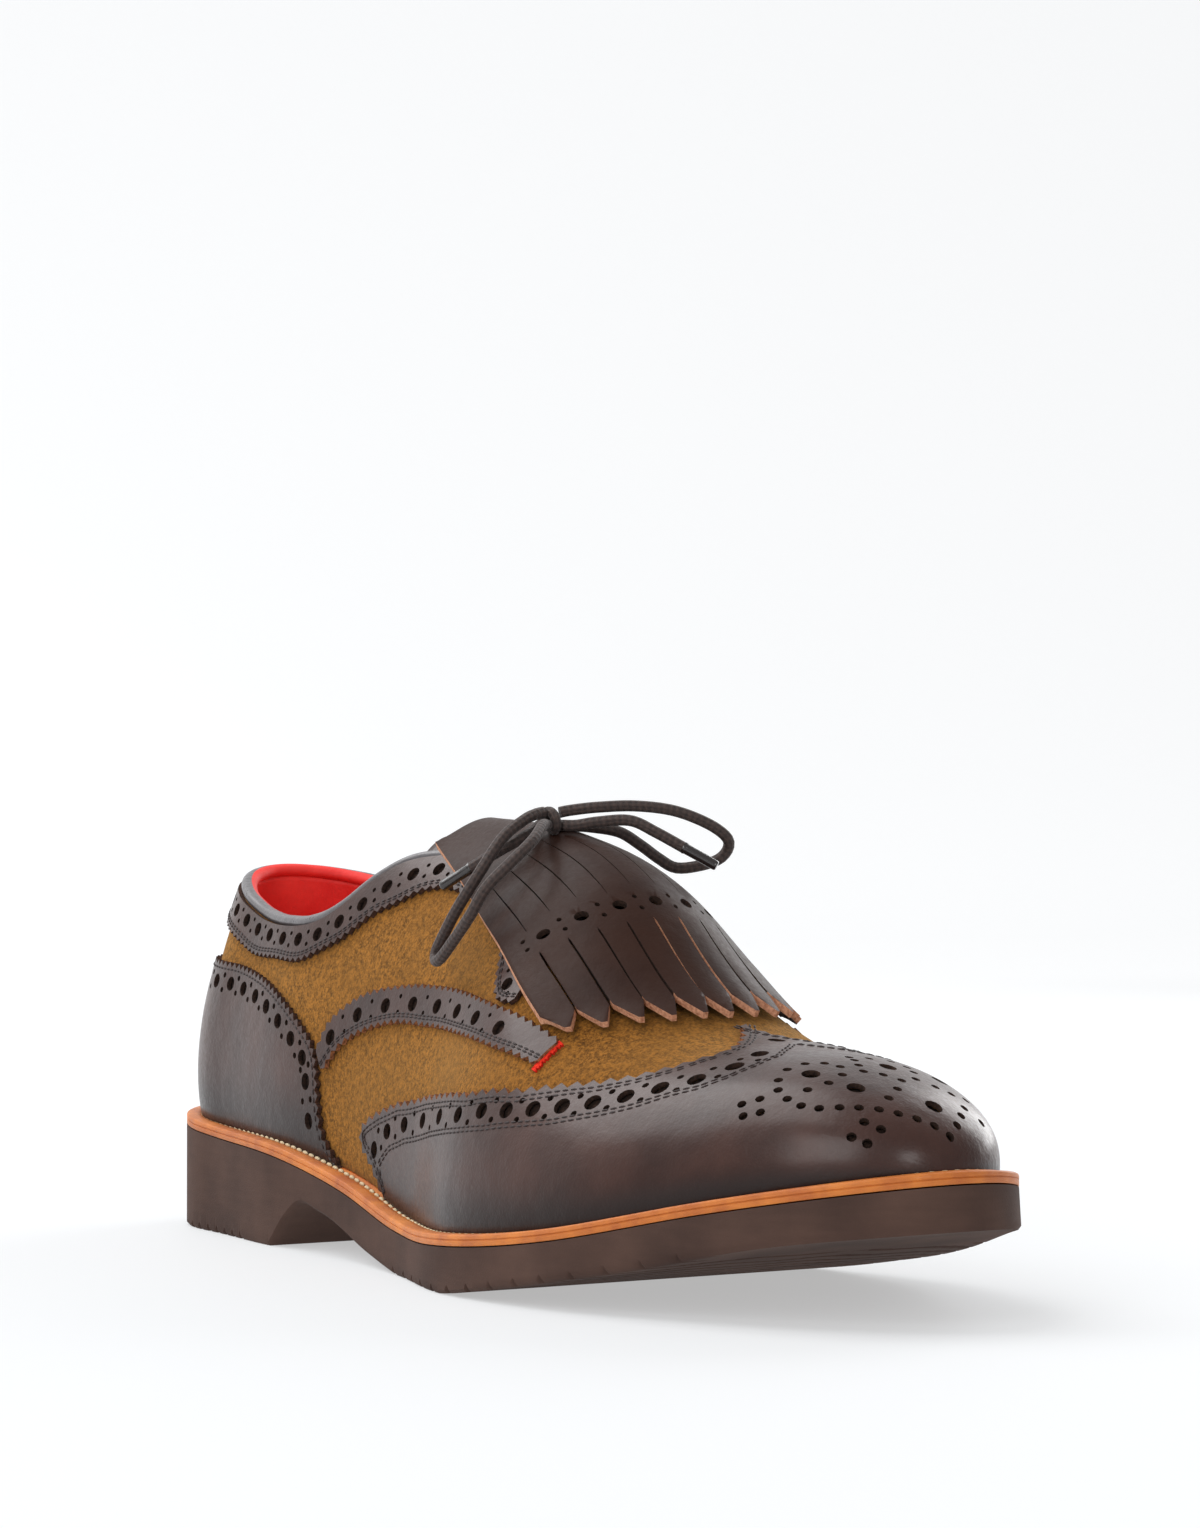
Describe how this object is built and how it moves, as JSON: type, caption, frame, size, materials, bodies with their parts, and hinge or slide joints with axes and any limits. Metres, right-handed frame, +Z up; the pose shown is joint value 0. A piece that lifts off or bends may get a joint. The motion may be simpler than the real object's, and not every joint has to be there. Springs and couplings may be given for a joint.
{
  "type": "fringed brogue shoe",
  "caption": "Right fringed brogue: hollow suede and calf upper with wing cap, open collar, fringed kiltie under a lace bow, tan leather midsole and foam rubber sole with heel and toe spring",
  "frame": {"origin": "middle of the footprint on the ground, under the middle of the sole's length and width", "axes": "+Z up; toe to -Y, heel to +Y; the shoe is for a right foot, so its outer side is -X and its inner side +X"},
  "size_m": [0.1066, 0.3062, 0.1096],
  "materials": {
    "foam_rubber": "matte dark brown moulded foam rubber",
    "sole_leather": "natural tan sole leather, trimmed edge",
    "insole_leather": "matte red",
    "suede": "tan suede nap",
    "calf": "smooth dark brown calf, soft sheen",
    "binding": "smooth grey brown",
    "lace": "braided waxed cotton",
    "aglet": "clear film over the braid"
  },
  "bodies": {
    "root": {"outsole": "foam_rubber", "midsole": "sole_leather", "insole": "insole_leather", "upper": "suede", "wing_cap": "calf", "heel_counter": "calf", "lateral_strap": "calf", "medial_strap": "calf", "collar_band": "calf", "back_strip": "calf", "collar_binding": "binding", "tongue": "suede", "kiltie": "calf", "lace_bar_1": "lace", "lace_bar_2": "lace", "lace_bar_3": "lace", "lace_knot": "lace", "lace_near_loop": "lace", "lace_far_loop": "lace", "lace_left_end": "lace", "lace_right_end": "lace", "lace_left_aglet": "aglet", "lace_right_aglet": "aglet"}
  },
  "joints": []
}
